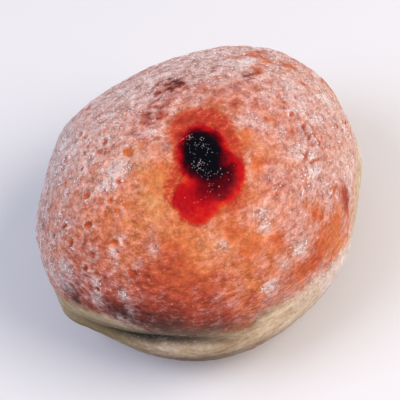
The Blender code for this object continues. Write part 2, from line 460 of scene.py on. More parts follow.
# Blisters that stayed whole, low bubbles with a groove round them: direction and radius. Those that
# overlap have run together
BUBBLES = (
    ((352, 33), 1.7),
    ((346.5, 31), 1.9),
    ((342, 29.5), 2.1),
    ((337.5, 31), 1.7),
    ((335, 36), 1.3),
    ((11, 39), 2.3),
    ((6, 14), 2),
    ((25, 18), 2.4),
    ((55, 20), 2.2),
)
BUBBLE_HEIGHT = 0.3  # in millimetres
RIM_REACH = 1.15  # of a burst blister's rim, in radii
RIM_HALF_WIDTH = 0.28
RIM_HEIGHT = 0.35  # as a share of the depth
BARE_REACH = 0.8  # of the bare floor of a burst blister, in radii
GROOVE_HALF_WIDTH = 0.18
GROOVE_DEPTH = 0.8  # as a share of the bubble's height
dent = np.zeros(len(points))
for direction, radius, depth in PITS:
    reach = uneven(away_from(direction) / radius, (0, 0.2, 0.45))
    rim = np.exp(-(((reach - RIM_REACH) / RIM_HALF_WIDTH) ** 2))
    bare = np.exp(-((reach / BARE_REACH) ** 2))
    dent += depth * (rise(reach, 1, 0) - RIM_HEIGHT * rim)
    sugar += 0.3 * rim - 0.4 * bare
    browning_and_shade += 0.1 * bare
reach = np.min([away_from(direction) / radius for direction, radius in BUBBLES], axis=0)
reach = uneven(reach, (0, 0.35, 0.3))
groove = np.exp(-(((reach - 1) / GROOVE_HALF_WIDTH) ** 2)) * rise(flecks, -0.28, 0.12)
dent += BUBBLE_HEIGHT * (GROOVE_DEPTH * groove - rise(reach, 1, 0.3))
sugar += 0.12 * rise(reach, 1, 0.6) - 0.45 * groove
browning_and_shade += 0.04 * groove

# Where jam lies on the crust and soaks into it. A depth of 0.2 is a stain, and at 1 the jam is black. Each
# shape, seen from above, has its middle, half length, half width, lean, depth and soft edge in millimetres
JAM_SHAPES = (
    (3.6, -9, 9.3, 5.8, 94, 0.97, 5.6),
    (6.3, -17.7, 5.9, 3.5, 54, 0.63, 3.3),
    (-0.6, -20.2, 6.9, 5.7, 46, 0.34, 2.3),
    (5, -0.8, 8.6, 7.5, 137, 0.24, 3.6),
    (8.2, -5, 9, 5.4, 115, 0.23, 3),
    (0.6, -7, 10, 3.2, 48, 0.27, 4.6),
    (8.6, -19.9, 7.2, 3.9, 64, 0.13, 2.2),
    (-4, -19.2, 4.6, 3.6, 100, 0.36, 2.2),
    (-6.4, -16, 4.4, 2.6, 70, 0.2, 3),
    (8, -15.4, 5.4, 2.6, 82, 0.76, 7),
    (9.2, -14.8, 5.8, 3.5, 82, 0.38, 1.8),
    (3.6, -17.6, 6.9, 4.8, 45, 0.63, 8.5),
    (6.9, -4.2, 5, 2.8, 115, 0.7, 4.1),
)
BLEND = 5  # a higher power gives sharper joins between the shapes
JAM_WANDERS = ((0.7, 0.0032, 4), (0.5, 0.0012, 5))  # its edge's swings in millimetres, their size and seed
STAINED = (0.05, 0.2)  # depths between which jam takes the place of dry crust


def jam_depth(points):
    """How deep the jam is at each point, from 0, none, to 1, black."""
    total = 0
    wander = sum(swing * mottle(points, size, seed) for swing, size, seed in JAM_WANDERS)
    for x, y, half_length, half_width, lean, depth, edge in JAM_SHAPES:
        aside = points[:, :2] * 1000 - (x, y)
        turn = math.radians(lean)
        along = aside @ (math.cos(turn), math.sin(turn)) / half_length
        across = aside @ (-math.sin(turn), math.cos(turn)) / half_width
        outside = (np.hypot(along, across) - 1) * half_width + wander
        total = total + (depth * rise(outside, edge / 2, -edge / 2)) ** BLEND
    return total ** (1 / BLEND) * (points[:, 2] > WAIST_MIDDLE[2])


jam = jam_depth(points)
under_jam = rise(jam, *STAINED)
dent *= 1 - under_jam

# Sugar melts under the jam, and less of it stuck to the ring. It is also thinned where shade is painted
# about the crease. The numbers are the shares lost
sugar *= 1 - 0.6 * under_jam
sugar *= (1 - 0.5 * pale) * (1 - 0.35 * lip_shade)

# The crust is wrinkled where sugar lies on it. In places it is more wrinkled, or smoother: direction, spread
# in millimetres and strength
WRINKLED_LEAST = 0.1
WRINKLED_BY_SUGAR = 0.65
WRINKLED = (((228, 14), 20, 0.5), ((170, 45), 25, 0.12), ((350, 40), 22, -0.12))
wrinkled = with_places(WRINKLED_LEAST + WRINKLED_BY_SUGAR * np.clip(sugar, 0, 1), WRINKLED)

# Shade is painted on the ring, olive, where it turns under, and most at the front left: direction, spread
# in millimetres and strength
DUSK_HEIGHT = 7  # over the ring's bottom edge, in degrees
DUSK_STRENGTH = 0.4
DUSK = (((209, -11), 10, 0.7), ((224, -6), 9, 0.6), ((240, -16), 14, 0.15))
ring_shade = with_places(DUSK_STRENGTH * rise(elevation, ring_bottom + DUSK_HEIGHT, ring_bottom), DUSK)

# Relief is free to rise from just over the floor, and is held down under the jam
FREE_HEIGHTS = (0.0003, 0.0030)
HELD_BY_JAM = 0.8
free = rise(points[:, 2], *FREE_HEIGHTS) * (1 - HELD_BY_JAM * under_jam)

store(dough.data, "pale", pale)
store(dough.data, "lip_shade", lip_shade)
store(dough.data, "pinch", pinch)
store(dough.data, "ring_shade", np.clip(ring_shade, 0, 1))
store(dough.data, "browning_and_shade", np.clip(browning_and_shade, 0, 1))
store(dough.data, "sugar", np.clip(sugar, 0, 1))
store(dough.data, "wrinkled", wrinkled)
store(dough.data, "jam", jam)
store(dough.data, "dent", dent / 1000)
store(dough.data, "free", free)


def add(tree, kind, inputs=None, **settings):
    """Adds a node with its settings. An input, by name or number, takes a value or a node's output."""
    node = tree.nodes.new(kind)
    for setting, value in settings.items():
        setattr(node, setting, value)
    for key, value in (inputs or {}).items():
        if isinstance(value, bpy.types.NodeSocket):
            tree.links.new(value, node.inputs[key])
        else:
            node.inputs[key].default_value = value
    return node


def new_shape_tree(name, sizes):
    """Geometry tree with a geometry input and a named input for each size."""
    tree = bpy.data.node_groups.new(name, "GeometryNodeTree")
    tree.interface.new_socket("Geometry", in_out="INPUT", socket_type="NodeSocketGeometry")
    for size in sizes:
        tree.interface.new_socket(size, in_out="INPUT", socket_type="NodeSocketFloat")
    tree.interface.new_socket("Geometry", in_out="OUTPUT", socket_type="NodeSocketGeometry")
    return tree, add(tree, "NodeGroupInput").outputs


def run_tree(piece, tree, sizes):
    """Runs a geometry tree on a piece with the sizes given, and keeps the result as its mesh."""
    modifier = piece.modifiers.new(tree.name, "NODES")
    modifier.node_group = tree
    for socket in tree.interface.items_tree:
        if socket.in_out == "INPUT" and socket.name in sizes:
            modifier[socket.identifier] = float(sizes[socket.name])
    settle(piece)


# Relief of the crust. Each layer of noise has a size, a height, a squeeze along z, which draws it out along
# the waist, and the attribute that says where it is
LAYERS = (
    ("Lump", 0.011, 0.0006, 1.0, "free"),
    ("Wrinkle", 0.0045, 0.0007, 2.6, "free"),
    ("Cake", 0.0022, 0.0009, 1.3, "sugar"),
)
BLISTERS = {"Blister spacing": 0.0068, "Blister width": 0.0020, "Blister depth": 0.00035}
BURST_FROM = 0.62  # each cell draws a number from 0 to 1, and has a burst blister if it is over this
PINCH_DEPTH = 0.0011


def crust_tree():
    """Moves each point of the crust along its normal, and marks where a blister burst."""
    sizes = {"Pinch depth": PINCH_DEPTH, **BLISTERS}
    for name, spacing, rise_by, _, _ in LAYERS:
        sizes[name + " size"] = spacing
        sizes[name + " height"] = rise_by
    tree, size = new_shape_tree("crust relief", sizes)
    point = add(tree, "GeometryNodeInputPosition").outputs[0]
    masks = {}
    for name in ("free", "sugar", "pinch", "dent"):
        node = add(tree, "GeometryNodeInputNamedAttribute", {"Name": name}, data_type="FLOAT")
        masks[name] = node.outputs[0]

    pinched = {0: masks["pinch"], 1: size["Pinch depth"], 2: masks["dent"]}
    dents = add(tree, "ShaderNodeMath", pinched, operation="MULTIPLY_ADD")
    height = add(tree, "ShaderNodeMath", {0: 0.0, 1: dents.outputs[0]}, operation="SUBTRACT")
    for name, _, _, squeeze, place in LAYERS:
        squeezed = add(tree, "ShaderNodeVectorMath", {0: point, 1: (1, 1, squeeze)}, operation="MULTIPLY")
        often = add(tree, "ShaderNodeMath", {0: 1.0, 1: size[name + " size"]}, operation="DIVIDE")
        pattern = {"Vector": squeezed.outputs[0], "Scale": often.outputs[0], "Detail": 3.0}
        bumps = add(tree, "ShaderNodeTexNoise", pattern)
        level = add(tree, "ShaderNodeMath", {0: bumps.outputs[0], 1: 0.5}, operation="SUBTRACT")
        there = add(tree, "ShaderNodeMath", {0: level.outputs[0], 1: masks[place]}, operation="MULTIPLY")
        raised = {0: there.outputs[0], 1: size[name + " height"], 2: height.outputs[0]}
        height = add(tree, "ShaderNodeMath", raised, operation="MULTIPLY_ADD")

    often = add(tree, "ShaderNodeMath", {0: 1.0, 1: size["Blister spacing"]}, operation="DIVIDE")
    cells = add(tree, "ShaderNodeTexVoronoi", {"Vector": point, "Scale": often.outputs[0]}, feature="F1")
    reach = {0: size["Blister width"], 1: size["Blister spacing"]}
    reach = add(tree, "ShaderNodeMath", reach, operation="DIVIDE")
    bowl = {"Value": cells.outputs["Distance"], "From Min": reach.outputs[0], "From Max": 0.0}
    bowl = add(tree, "ShaderNodeMapRange", bowl, interpolation_type="SMOOTHSTEP")
    chance = add(tree, "FunctionNodeSeparateColor", {0: cells.outputs["Color"]})
    chosen = add(tree, "ShaderNodeMath", {0: chance.outputs[0], 1: BURST_FROM}, operation="GREATER_THAN")
    burst = add(tree, "ShaderNodeMath", {0: bowl.outputs[0], 1: chosen.outputs[0]}, operation="MULTIPLY")
    burst = add(tree, "ShaderNodeMath", {0: burst.outputs[0], 1: masks["sugar"]}, operation="MULTIPLY")
    hollow = {0: burst.outputs[0], 1: size["Blister depth"]}
    hollow = add(tree, "ShaderNodeMath", hollow, operation="MULTIPLY")
    height = add(tree, "ShaderNodeMath", {0: height.outputs[0], 1: hollow.outputs[0]}, operation="SUBTRACT")
    height = add(tree, "ShaderNodeMath", {0: height.outputs[0], 1: masks["free"]}, operation="MULTIPLY")

    outward = add(tree, "GeometryNodeInputNormal").outputs[0]
    offset = add(tree, "ShaderNodeVectorMath", {0: outward, "Scale": height.outputs[0]}, operation="SCALE")
    moved = add(tree, "GeometryNodeSetPosition", {"Geometry": size["Geometry"], "Offset": offset.outputs[0]})
    mark = {"Geometry": moved.outputs[0], "Name": "burst", "Value": burst.outputs[0]}
    marked = add(tree, "GeometryNodeStoreNamedAttribute", mark, data_type="FLOAT", domain="POINT")
    add(tree, "NodeGroupOutput", {0: marked.outputs[0]})
    return tree, sizes


run_tree(dough, *crust_tree())


def colour(code):
    """Linear colour from an sRGB hex code."""
    shares = [int(code[i : i + 2], 16) / 255 for i in (1, 3, 5)]
    return [s / 12.92 if s <= 0.04045 else ((s + 0.055) / 1.055) ** 2.4 for s in shares] + [1.0]


def paint_stops(ramp, stops):
    """Sets a colour ramp's stops, each a place and a hex code, and gives its colour."""
    elements = ramp.color_ramp.elements
    while len(elements) < len(stops):
        elements.new(1.0)
    for element, (place, code) in zip(elements, stops):
        element.position = place
        element.color = colour(code)
    return ramp.outputs["Color"]


def new_material(name):
    """Material with an empty tree, its Principled shader and its output."""
    material = bpy.data.materials.new(name)
    material.use_nodes = True
    tree = material.node_tree
    tree.nodes.clear()
    shader = add(tree, "ShaderNodeBsdfPrincipled")
    add(tree, "ShaderNodeOutputMaterial", {"Surface": shader.outputs[0]})
    return material, tree, shader


CRUST_TONES = (
    (0.0, "#f8b07a"),
    (0.18, "#f4985d"),
    (0.32, "#ef824b"),
    (0.45, "#e26c3e"),
    (0.58, "#cb5436"),
    (0.72, "#ae4631"),
    (0.86, "#80362b"),
    (1.0, "#5c2b26"),
)
RING_TONES = ((0.3, "#cfa777"), (0.5, "#efd0aa"), (0.68, "#fbeddc"))
# Colours of painted shade: on the lip, in the pinch, and olive on the ring where it turns under
LIP_SHADE_BROWN = "#7d6754"
PINCH_SHADE_BROWN = "#2a2717"
SHADE_OLIVE = "#8a7a48"
JAM_TONES = (
    (0.04, "#e88452"),
    (0.2, "#da4e2c"),
    (0.28, "#cc3420"),
    (0.36, "#c4151c"),
    (0.48, "#9c0d17"),
    (0.62, "#6d0814"),
    (0.74, "#480610"),
    (0.86, "#1f0811"),
    (0.95, "#0a0a12"),
)
SUGAR_WHITE = "#f3deda"
SHEEN = 1.2  # how much the powdery sugar lights up where it is seen aslant
CRUMB_SIZE = 0.0018  # the coarsest wrinkles of the crust, whose finest are a thirty-second of it
FRECKLE_SIZE = 0.0024
STREAK_SIZE = 0.0022
CLUMP_SIZE = 0.0032
SPECK_SIZE = 0.0008
GRAIN_SIZE = 0.0006  # a real grain is about half of it, and is drawn coarser so that it shows
GRAIN_EDGES = (0.6, 0.2)  # of a grain in its cell, from its foot to its flat top
GRAIN_SHARE = 0.6  # of the cells that hold a grain where the sugar is thickest
GRAIN_WHITE = 0.3  # what a grain adds to the white of the film
BURST_COVER = -0.3  # what a burst blister adds to the cover
COVER_RANGE = (0.0, 1.15)  # covers between which the sugar's film goes from none to its thickest
FILM_THICKEST = 0.88
WET_RANGE = (0.02, 0.22)  # depths of jam between which it goes from none to all that shows
WET_MOST = 0.95
RELIEF_HEIGHT = 0.0006  # of the fine relief that is only in the material


def fried_crust():
    """Fried yeast dough rolled in sugar while warm: matt and wrinkled, under a lilac-white bloom."""
    material, tree, shader = new_material("fried dough with sugar")
    place = add(tree, "ShaderNodeTexCoord").outputs["Object"]
    drawn_out = add(tree, "ShaderNodeMapping", {"Vector": place, "Scale": (0.85, 0.85, 2.0)}).outputs[0]
    round_waist = add(tree, "ShaderNodeMapping", {"Vector": place, "Scale": (0.3, 0.3, 1.5)}).outputs[0]
    masks = {}
    for name in ("pale", "lip_shade", "pinch", "ring_shade", "browning_and_shade", "sugar", "wrinkled", "jam", "burst"):
        masks[name] = add(tree, "ShaderNodeAttribute", attribute_name=name).outputs["Fac"]

    # Noises about zero: wrinkles of the crust, freckles of browning, clumps of sugar, streaks along the
    # ring, and dry specks where jam soaked in
    noises = {}
    for name, where, size, detail, roughness in (
        ("crumb", drawn_out, CRUMB_SIZE, 5.0, 0.75),
        ("freckle", drawn_out, FRECKLE_SIZE, 4.0, 0.5),
        ("clump", place, CLUMP_SIZE, 3.0, 0.6),
        ("streak", round_waist, STREAK_SIZE, 4.0, 0.6),
        ("speck", place, SPECK_SIZE, 2.0, 0.6),
    ):
        pattern = {"Vector": where, "Scale": 1 / size, "Detail": detail, "Roughness": roughness}
        pattern = add(tree, "ShaderNodeTexNoise", pattern)
        centred = add(tree, "ShaderNodeMath", {0: pattern.outputs["Fac"], 1: 0.5}, operation="SUBTRACT")
        noises[name] = centred.outputs[0]

    # Separate grains, each a cell of the pattern that the cover chooses
    cells = add(tree, "ShaderNodeTexVoronoi", {"Vector": place, "Scale": 1 / GRAIN_SIZE}, feature="F1")
    chance = add(tree, "ShaderNodeSeparateColor", {0: cells.outputs["Color"]}).outputs[0]
    foot, top = GRAIN_EDGES
    dome = {"Value": cells.outputs["Distance"], "From Min": foot, "From Max": top}
    dome = add(tree, "ShaderNodeMapRange", dome).outputs[0]
    lying = {0: masks["sugar"], 1: GRAIN_SHARE}
    lying = add(tree, "ShaderNodeMath", lying, operation="MULTIPLY").outputs[0]
    lying = add(tree, "ShaderNodeMath", {0: lying, 1: chance}, operation="GREATER_THAN").outputs[0]
    noises["grain"] = add(tree, "ShaderNodeMath", {0: lying, 1: dome}, operation="MULTIPLY").outputs[0]

    # Wrinkles are deeper in some places than in others
    deeper = {0: noises["crumb"], 1: masks["wrinkled"]}
    noises["wrinkle"] = add(tree, "ShaderNodeMath", deeper, operation="MULTIPLY").outputs[0]

    # Each look is a level to start from and the noises that change it, each by its weight
    looks = {}
    for name, level, weights in (
        ("crust tone", masks["browning_and_shade"], {"freckle": 0.35, "crumb": -0.2}),
        ("ring tone", 0.5, {"streak": 0.6, "crumb": 0.25}),
        ("cover", masks["sugar"], {"crumb": 1.1, "clump": 0.5}),
        ("jam", masks["jam"], {"freckle": 0.2, "speck": -0.25}),
        ("wetness", 1.0, {"crumb": -1.5, "speck": -2.5}),
        ("crust light", 1.0, {"crumb": 1.1, "wrinkle": 2.7, "clump": 0.25}),
        ("ring light", 1.0, {"crumb": 0.9, "streak": 0.5}),
        ("height", 0.0, {"crumb": 2.5, "freckle": 0.7, "grain": 0.12}),
    ):
        for noise_name, weight in weights.items():
            raised = {0: noises[noise_name], 1: weight, 2: level}
            level = add(tree, "ShaderNodeMath", raised, operation="MULTIPLY_ADD").outputs[0]
        looks[name] = level

    # Crust, ring with its painted olive shade, and the painted shade of the lip and the pinch, one over the
    # other
    base = paint_stops(add(tree, "ShaderNodeValToRGB", {"Fac": looks["crust tone"]}), CRUST_TONES)
    ring = paint_stops(add(tree, "ShaderNodeValToRGB", {"Fac": looks["ring tone"]}), RING_TONES)
    shaded_ring = {0: masks["ring_shade"], 6: ring, 7: colour(SHADE_OLIVE)}
    ring = add(tree, "ShaderNodeMix", shaded_ring, data_type="RGBA").outputs[2]
    for mask, layer in (("pale", ring), ("lip_shade", colour(LIP_SHADE_BROWN)), ("pinch", colour(PINCH_SHADE_BROWN))):
        base = add(tree, "ShaderNodeMix", {0: masks[mask], 6: base, 7: layer}, data_type="RGBA").outputs[2]

    # Sugar: a thin film, thicker on the wrinkles and in clumps and missing in burst blisters, and the grains
    cover = {0: masks["burst"], 1: BURST_COVER, 2: looks["cover"]}
    cover = add(tree, "ShaderNodeMath", cover, operation="MULTIPLY_ADD").outputs[0]
    thin, thick = COVER_RANGE
    film = {"Value": cover, "From Min": thin, "From Max": thick, "To Max": FILM_THICKEST}
    film = add(tree, "ShaderNodeMapRange", film, interpolation_type="SMOOTHSTEP").outputs[0]
    white = {0: noises["grain"], 1: GRAIN_WHITE, 2: film}
    white = add(tree, "ShaderNodeMath", white, operation="MULTIPLY_ADD", use_clamp=True)
    dusted = {0: white.outputs[0], 6: base, 7: colour(SUGAR_WHITE)}
    dusted = add(tree, "ShaderNodeMix", dusted, data_type="RGBA").outputs[2]

    # Jam that soaked in
    soaked = paint_stops(add(tree, "ShaderNodeValToRGB", {"Fac": looks["jam"]}), JAM_TONES)
    wetness = add(tree, "ShaderNodeMath", {0: masks["jam"], 1: looks["wetness"]}, operation="MULTIPLY")
    thin, thick = WET_RANGE
    wet = {"Value": wetness.outputs[0], "From Min": thin, "From Max": thick, "To Max": WET_MOST}
    wet = add(tree, "ShaderNodeMapRange", wet, interpolation_type="SMOOTHSTEP").outputs[0]
    finished = add(tree, "ShaderNodeMix", {0: wet, 6: dusted, 7: soaked}, data_type="RGBA").outputs[2]

    # The bottoms of the wrinkles are dark, and too fine for the mesh to shade them. The ring is smoother
    light = {0: masks["pale"], 2: looks["crust light"], 3: looks["ring light"]}
    light = add(tree, "ShaderNodeMix", light, data_type="FLOAT").outputs[0]
    finished = add(tree, "ShaderNodeVectorMath", {0: finished, "Scale": light}, operation="SCALE").outputs[0]
    tree.links.new(finished, shader.inputs["Base Color"])
    powder = add(tree, "ShaderNodeMath", {0: film, 1: SHEEN}, operation="MULTIPLY").outputs[0]
    tree.links.new(powder, shader.inputs["Sheen Weight"])
    shader.inputs["Sheen Roughness"].default_value = 0.3
    shader.inputs["Sheen Tint"].default_value = colour(SUGAR_WHITE)

    relief = {"Height": looks["height"], "Strength": 1.0, "Distance": RELIEF_HEIGHT}
    relief = add(tree, "ShaderNodeBump", relief)
    tree.links.new(relief.outputs[0], shader.inputs["Normal"])
    shine = add(tree, "ShaderNodeMapRange", {"Value": wet, "To Min": 0.75, "To Max": 0.4})
    tree.links.new(shine.outputs[0], shader.inputs["Roughness"])
    shader.inputs["Specular IOR Level"].default_value = 0.25
    return material


dough.data.materials.clear()
dough.data.materials.append(fried_crust())
dough.data.shade_smooth()
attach(dough, "root")
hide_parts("dough")

# The jam
# Seedless red jam that welled out of the hole it was piped into, and wets the crust to a thin edge. It is
# all but black where it is deep, dark red in its thick tongue, and bright red where it lies thin.

HOLE_MIDDLE = Vector((0.0038, -0.0078, 0.0515))
HOLE_BOTTOM = Vector((0.0027, -0.0057, 0.0440))
HOLE_HALF_LENGTH = 0.0071
HOLE_HALF_WIDTH = 0.0049
HOLE_LEAN = 91  # direction of its long axis seen from above, turned from +X
TURNS = 168
RINGS = 54
CROWDING = 1.5  # a higher power puts more of the rings near the edge
EDGE_ROUNDING = 3  # rounds of smoothing of the CAD's outline
TOP_SMOOTHING = 10  # rounds of smoothing of the CAD's lumps
CREEP = 0.0013  # how far the jam may creep past the CAD's outline
SHORT = 0.0014  # how far it may stop short of it
THINNEST = 0.24  # depth of the jam at its own edge, beyond which it only stains the crust
TUCK = 0.00006  # depth of its edge under the crust
FILM = 0.0001  # least thickness of the jam on the crust
SOFTNESS = 0.0004  # how gently thick jam passes into the film
MENISCUS = 3.0  # millimetres over which it thins out to its edge
HELD = 0.0012  # most that it thins out by, so that it stays full over the hole
PULP_SIZE = 0.0012  # bits of fruit pulp in the jam
PULP_TINT = 0.3  # how much they change the depth that its colour shows
PULP_LUMPS = ((0.00022, 0.0026, 7), (0.0001, 0.0011, 8))  # height, size and seed of the lumps they make
PULP_FADE = (0.2, 1.4)  # millimetres from the edge
UNDERCUT = 0.06  # share of the way to the hole by which the edge's underside is set back
UNDERCUT_DEPTH = 0.0009
PLUG_TOP = 0.0016  # depth under the hole's middle at which the wall of the plug starts
STEP = 0.0001
WELL_INSIDE = 3 * STEP  # from the CAD's outline to where its heights are used
HIGH = 0.08  # over everything


def surface_of(mesh):
    """Tree of a mesh's faces, for finding points on it."""
    return BVHTree.FromPolygons([v.co for v in mesh.vertices], [p.vertices for p in mesh.polygons])


def top_at(surface, x, y):
    """Height of a surface seen from above, or nothing where there is none."""
    hit = surface.ray_cast(Vector((x, y, HIGH)), Vector((0, 0, -1)))[0]
    return hit.z if hit else None


def evened(values):
    """Each value mixed with its two neighbours round the hole."""
    return (np.roll(values, 1, axis=-1) + 2 * values + np.roll(values, -1, axis=-1)) / 4


cad_jam = copy_of_node("jam", "cad_jam")
jam_surface = surface_of(cad_jam.data)
crust_surface = surface_of(dough.data)
bpy.data.objects.remove(cad_jam)
turns = [math.tau * i / TURNS for i in range(TURNS)]
outline = []
for turn in turns:
    reach = HOLE_HALF_WIDTH / 2
    x, y = math.cos(turn), math.sin(turn)
    while top_at(jam_surface, HOLE_MIDDLE.x + reach * x, HOLE_MIDDLE.y + reach * y):
        reach += STEP
    outline.append(reach)
rounded = np.array(outline)
for _ in range(EDGE_ROUNDING):
    rounded = evened(rounded)
edge_reach = []
for turn, reach in zip(turns, rounded):
    tries = np.arange(reach - SHORT, reach + CREEP, STEP)
    line = [HOLE_MIDDLE + Vector((math.cos(turn), math.sin(turn), 0)) * r for r in tries]
    thin = jam_depth(np.array(line)) < THINNEST
    edge_reach.append(tries[np.argmax(thin)] if thin.any() else tries[-1])
edge_reach = evened(np.array(edge_reach))

# Heights from the middle out to the edge, then smoothed to a meniscus that stays on the crust
shares = 1 - (1 - np.linspace(0, 1, RINGS + 1)[1:]) ** CROWDING
height = np.full((RINGS, TURNS), np.nan)
ground = np.full((RINGS, TURNS), -1.0)
places = np.empty((RINGS, TURNS, 2))
for i, share in enumerate(shares):
    for j, turn in enumerate(turns):
        reach = share * edge_reach[j]
        x = HOLE_MIDDLE.x + reach * math.cos(turn)
        y = HOLE_MIDDLE.y + reach * math.sin(turn)
        places[i, j] = x, y
        ground[i, j] = top_at(crust_surface, x, y)
        if reach < rounded[j] - WELL_INSIDE:
            height[i, j] = top_at(jam_surface, x, y)
height[-1] = ground[-1] - TUCK
for j in range(TURNS):
    known = ~np.isnan(height[:, j])
    height[:, j] = np.interp(shares, shares[known], height[known, j])
from_edge = (1 - shares[:, None]) * edge_reach[None, :] * 1000
for _ in range(TOP_SMOOTHING):
    inner = height[:-1].copy()
    inner[1:] = (height[:-2] + 2 * height[1:-1] + height[2:]) / 4
    height[:-1] = np.maximum(evened(inner), ground[:-1])
above = height - ground - FILM
above = FILM + (above + np.hypot(above, SOFTNESS)) / 2
height = ground + above - np.minimum(above, HELD) * rise(from_edge, MENISCUS, 0)
height[-1] = ground[-1] - TUCK
flat_places = np.dstack((places, np.zeros((RINGS, TURNS)))).reshape(-1, 3)
pulp = sum(lump * mottle(flat_places, size, seed) for lump, size, seed in PULP_LUMPS)
height += pulp.reshape(RINGS, TURNS) * rise(from_edge, *PULP_FADE)

# Its rings of points: the top, the edge's underside, the plug's wall and the plug's bottom
rings = [[Vector((*places[i, j], height[i, j])) for j in range(TURNS)] for i in range(RINGS)]
rings.append([p + UNDERCUT * (HOLE_MIDDLE - p) - Vector((0, 0, UNDERCUT_DEPTH)) for p in rings[-1]])
plug_top = HOLE_MIDDLE - Vector((0, 0, PLUG_TOP))
lean = math.radians(HOLE_LEAN)
for share, middle in ((1.0, plug_top), (0.96, HOLE_BOTTOM), (0.5, HOLE_BOTTOM)):
    ring = []
    for turn in turns:
        along = math.cos(turn - lean) / HOLE_HALF_LENGTH
        across = math.sin(turn - lean) / HOLE_HALF_WIDTH
        outward = Vector((math.cos(turn), math.sin(turn), 0))
        ring.append(middle + outward * share / math.hypot(along, across))
    rings.append(ring)

shell = bmesh.new()
loops = [[shell.verts.new(p) for p in ring] for ring in rings]
for upper, lower in zip(loops, loops[1:]):
    for j in range(TURNS):
        shell.faces.new((upper[j - 1], upper[j], lower[j], lower[j - 1]))
for loop in (loops[0], loops[-1]):
    pole = shell.verts.new(sum((v.co for v in loop), Vector()) / TURNS)
    for j in range(TURNS):
        shell.faces.new((loop[j - 1], loop[j], pole))
for j in range(TURNS):
    shell.edges.get((loops[RINGS - 1][j - 1], loops[RINGS - 1][j])).smooth = False
bmesh.ops.recalc_face_normals(shell, faces=shell.faces)
filling = bpy.data.objects.new("jam_filling", bpy.data.meshes.new("jam_filling"))
bpy.context.scene.collection.objects.link(filling)
shell.to_mesh(filling.data)
shell.free()
points = np.array([v.co for v in filling.data.vertices])
store(filling.data, "jam", jam_depth(points))

# Sugar that fell on the jam, seen from above: middle and spread in millimetres, and share
GRAINS_ON_JAM = (
    (1.4, -2.2, 1.6, 0.7),
    (3.6, -4.6, 1.6, 0.5),
    (2, -11, 1.5, 0.9),
    (3.4, -13.4, 1.4, 0.4),
    (4, -8, 3.4, 0.18),
    (5.4, -17.5, 3, 0.15),
    (8.5, -15, 2, 0.1),
    (3, -20, 2, 0.15),
    (-2, -20, 4, 0.04),
)
SPECKS_DOWN_TO = 0.004  # under the hole's middle
specks = 0
for x, y, spread, share in GRAINS_ON_JAM:
    away = np.hypot(points[:, 0] * 1000 - x, points[:, 1] * 1000 - y)
    specks = specks + share * np.exp(-((away / spread) ** 2))
store(filling.data, "specks", specks * (points[:, 2] > HOLE_MIDDLE.z - SPECKS_DOWN_TO))


def jam_gel():
    """Red jam, boiled fruit and sugar: a smooth wet gel whose colour deepens with its thickness."""
    material, tree, shader = new_material("red jam")
    depth = add(tree, "ShaderNodeAttribute", attribute_name="jam").outputs["Fac"]
    place = add(tree, "ShaderNodeTexCoord").outputs["Object"]
    pulp = {"Vector": place, "Scale": 1 / PULP_SIZE, "Detail": 3.0, "Roughness": 0.7}
    pulp = add(tree, "ShaderNodeTexNoise", pulp).outputs["Fac"]
    tinted = {0: pulp, 1: -PULP_TINT, 2: depth}
    tinted = add(tree, "ShaderNodeMath", tinted, operation="MULTIPLY_ADD").outputs[0]
    tinted = add(tree, "ShaderNodeMath", {0: tinted, 1: PULP_TINT / 2}, operation="ADD").outputs[0]
    hue = paint_stops(add(tree, "ShaderNodeValToRGB", {"Fac": tinted}), JAM_TONES)
    tree.links.new(hue, shader.inputs["Base Color"])
    relief = add(tree, "ShaderNodeBump", {"Height": pulp, "Strength": 0.5, "Distance": 0.0004}).outputs[0]
    tree.links.new(relief, shader.inputs["Normal"])
    shader.inputs["Subsurface Weight"].default_value = 0.15
    shader.inputs["Subsurface Radius"].default_value = (1.0, 0.15, 0.1)
    shader.inputs["Subsurface Scale"].default_value = 0.0015
    shader.inputs["Roughness"].default_value = 0.35
    shader.inputs["IOR"].default_value = 1.42
    shader.inputs["Specular IOR Level"].default_value = 0.04
    return material


filling.data.materials.append(jam_gel())
filling.data.shade_smooth()
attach(filling, "root")
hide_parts("jam")

# The sugar
# Caster sugar that the warm doughnut was rolled in. Its crystals lie thickest on the left and the top, with
# their broken dust between them, and a few stick to the jam.

CRYSTALS = {
    "Grain size": 0.00034,
    "Grains in a square metre": 8.0e6,
    "Least cover": 0.42,
    "Clump size": 0.0021,
    "Sunk share": 0.25,
}
DUST = {
    "Grain size": 0.0002,
    "Grains in a square metre": 2.4e7,
    "Least cover": 0.36,
    "Clump size": 0.0015,
    "Sunk share": 0.2,
}
ON_JAM = {
    "Grain size": 0.00012,
    "Grains in a square metre": 1.4e7,
    "Least cover": 0.02,
    "Clump size": 0.0014,
    "Sunk share": 0.2,
}
CLUMP_EDGES = (0.45, 0.62)  # levels of the noise between which a clump goes from its edge to full
BETWEEN_CLUMPS = 0.06  # share of the grains that lie there
TIPS = ((-0.5, -0.5, 0.0), (0.5, 0.5, 6.28))  # least and most turn of a grain about each axis, in radians
STRETCHES = ((0.5, 0.5, 0.4), (1.4, 1.2, 1.0))  # least and most size of a grain, as shares of its size
TINT_SIZE = 1 / 300  # crystals nearer to each other than this have about the same tint


